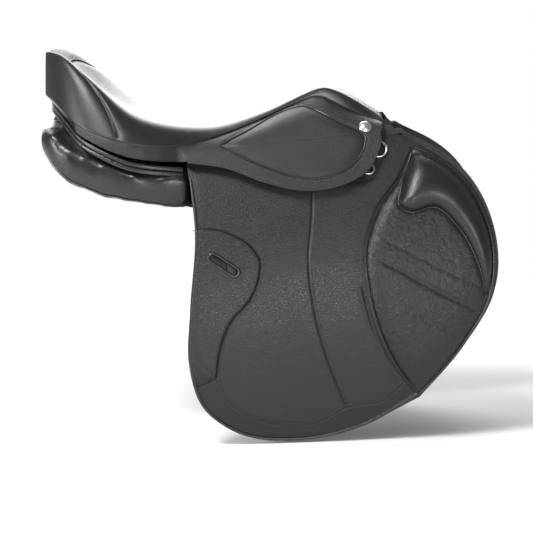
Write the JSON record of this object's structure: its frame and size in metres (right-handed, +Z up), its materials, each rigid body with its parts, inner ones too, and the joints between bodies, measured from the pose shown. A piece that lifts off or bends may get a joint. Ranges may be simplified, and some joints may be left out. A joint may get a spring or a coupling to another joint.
{
  "type": "english saddle",
  "caption": "English jumping saddle with a deep padded seat, lifting flaps with knee rolls, folding skirts, stirrup bars, girth straps and rings.",
  "frame": {"origin": "in the channel between the panels, under the lowest point of the seat, at the height where the panels bear on the back", "axes": "+X forward to the pommel, +Y to the rider's left, +Z up"},
  "size_m": [0.6101, 0.3564, 0.5138],
  "materials": {
    "seat_leather": "smooth black calf with a soft shine",
    "bridle_leather": "fine-grained black flap leather, semi-matt",
    "padded_leather": "soft creased black leather over foam",
    "panel_leather": "smooth glossy black leather over wool",
    "strap_leather": "firm black strap leather",
    "nickel_plate": "polished nickel",
    "forged_steel": "tumbled forged steel",
    "spring_steel": "blued steel",
    "laminated_beech": "lacquered laminated beech",
    "seat_foam": "moulded foam",
    "webbing": "woven web"
  },
  "bodies": {
    "root": {"bar_rivets": "forged_steel", "cantle_cover": "bridle_leather", "cantle_plate": "spring_steel", "catch_pins": "forged_steel", "channel_lining": "bridle_leather", "cross_webs": "webbing", "gullet_plate": "spring_steel", "left_flap_top": "bridle_leather", "left_panel": "panel_leather", "left_saddle_nail": "nickel_plate", "left_skirt_top": "bridle_leather", "left_stirrup_bar": "forged_steel", "left_sweat_flap": "bridle_leather", "left_tree_spring": "spring_steel", "long_webs": "webbing", "lower_cantle_welt": "bridle_leather", "pommel_facing": "bridle_leather", "right_flap_top": "bridle_leather", "right_panel": "panel_leather", "right_saddle_nail": "nickel_plate", "right_skirt_top": "bridle_leather", "right_stirrup_bar": "forged_steel", "right_sweat_flap": "bridle_leather", "right_tree_spring": "spring_steel", "seat_cover": "seat_leather", "seat_foam": "seat_foam", "tree_frame": "laminated_beech", "upper_cantle_welt": "bridle_leather"},
    "right_flap": {"right_flap_base": "bridle_leather", "right_flap_overlay": "bridle_leather", "right_girth_keeper": "bridle_leather", "right_knee_pad": "padded_leather", "right_knee_roll": "padded_leather", "right_ring_chapes": "strap_leather"},
    "right_skirt": {"right_skirt": "bridle_leather", "right_skirt_insert": "padded_leather"},
    "right_bar_catch": {"right_bar_catch": "forged_steel"},
    "right_upper_ring": {"right_upper_ring": "nickel_plate"},
    "right_lower_ring": {"right_lower_ring": "nickel_plate"},
    "right_girth_strap_1": {"right_girth_strap_1": "strap_leather"},
    "right_girth_strap_2": {"right_girth_strap_2": "strap_leather"},
    "right_girth_strap_3": {"right_girth_strap_3": "strap_leather"},
    "left_flap": {"left_flap_base": "bridle_leather", "left_flap_overlay": "bridle_leather", "left_girth_keeper": "bridle_leather", "left_knee_pad": "padded_leather", "left_knee_roll": "padded_leather", "left_ring_chapes": "strap_leather"},
    "left_skirt": {"left_skirt": "bridle_leather", "left_skirt_insert": "padded_leather"},
    "left_bar_catch": {"left_bar_catch": "forged_steel"},
    "left_upper_ring": {"left_upper_ring": "nickel_plate"},
    "left_lower_ring": {"left_lower_ring": "nickel_plate"},
    "left_girth_strap_1": {"left_girth_strap_1": "strap_leather"},
    "left_girth_strap_2": {"left_girth_strap_2": "strap_leather"},
    "left_girth_strap_3": {"left_girth_strap_3": "strap_leather"}
  },
  "joints": [
    {"name": "right_flap_lift", "type": "hinge", "parent": "root", "child": "right_flap", "pos_m": [0.07283, -0.10182, 0.05309], "axis": [-0.9868, -0.1159, -0.1132], "range_deg": [0, 60]},
    {"name": "right_skirt_lift", "type": "hinge", "parent": "right_flap", "child": "right_skirt", "pos_m": [0.07283, -0.10182, 0.05309], "axis": [-0.9868, -0.1159, -0.1132], "range_deg": [0, 60]},
    {"name": "right_catch_turn", "type": "hinge", "parent": "root", "child": "right_bar_catch", "pos_m": [0.11265, -0.07611, 0.05955], "axis": [-0.0353, 0.8356, -0.5483], "range_deg": [0, 60]},
    {"name": "right_upper_ring_swing", "type": "hinge", "parent": "right_flap", "child": "right_upper_ring", "pos_m": [0.1962, -0.08231, 0.05308], "axis": [-0.9868, -0.1159, -0.1132], "range_deg": [0, 12]},
    {"name": "right_lower_ring_swing", "type": "hinge", "parent": "right_flap", "child": "right_lower_ring", "pos_m": [0.18307, -0.09833, 0.02492], "axis": [-0.9868, -0.1159, -0.1132], "range_deg": [0, 12]},
    {"name": "right_strap_1_swing", "type": "hinge", "parent": "root", "child": "right_girth_strap_1", "pos_m": [0.00327, -0.08474, 0.0413], "axis": [0.0361, -0.8383, 0.544], "range_deg": [-1, 1]},
    {"name": "right_strap_2_swing", "type": "hinge", "parent": "root", "child": "right_girth_strap_2", "pos_m": [0.04767, -0.07952, 0.0464], "axis": [0.0361, -0.8383, 0.544], "range_deg": [-1, 1]},
    {"name": "right_strap_3_swing", "type": "hinge", "parent": "root", "child": "right_girth_strap_3", "pos_m": [0.09208, -0.0743, 0.05149], "axis": [0.0361, -0.8383, 0.544], "range_deg": [-1, 1]},
    {"name": "left_flap_lift", "type": "hinge", "parent": "root", "child": "left_flap", "pos_m": [0.07283, 0.10182, 0.05309], "axis": [0.9868, -0.1159, 0.1132], "range_deg": [0, 60]},
    {"name": "left_skirt_lift", "type": "hinge", "parent": "left_flap", "child": "left_skirt", "pos_m": [0.07283, 0.10182, 0.05309], "axis": [0.9868, -0.1159, 0.1132], "range_deg": [0, 60]},
    {"name": "left_catch_turn", "type": "hinge", "parent": "root", "child": "left_bar_catch", "pos_m": [0.11265, 0.07611, 0.05955], "axis": [0.0353, 0.8356, 0.5483], "range_deg": [0, 60]},
    {"name": "left_upper_ring_swing", "type": "hinge", "parent": "left_flap", "child": "left_upper_ring", "pos_m": [0.1962, 0.08231, 0.05308], "axis": [0.9868, -0.1159, 0.1132], "range_deg": [0, 12]},
    {"name": "left_lower_ring_swing", "type": "hinge", "parent": "left_flap", "child": "left_lower_ring", "pos_m": [0.18307, 0.09833, 0.02492], "axis": [0.9868, -0.1159, 0.1132], "range_deg": [0, 12]},
    {"name": "left_strap_1_swing", "type": "hinge", "parent": "root", "child": "left_girth_strap_1", "pos_m": [0.00327, 0.08474, 0.0413], "axis": [-0.0361, -0.8383, -0.544], "range_deg": [-1, 1]},
    {"name": "left_strap_2_swing", "type": "hinge", "parent": "root", "child": "left_girth_strap_2", "pos_m": [0.04767, 0.07952, 0.0464], "axis": [-0.0361, -0.8383, -0.544], "range_deg": [-1, 1]},
    {"name": "left_strap_3_swing", "type": "hinge", "parent": "root", "child": "left_girth_strap_3", "pos_m": [0.09208, 0.0743, 0.05149], "axis": [-0.0361, -0.8383, -0.544], "range_deg": [-1, 1]}
  ]
}
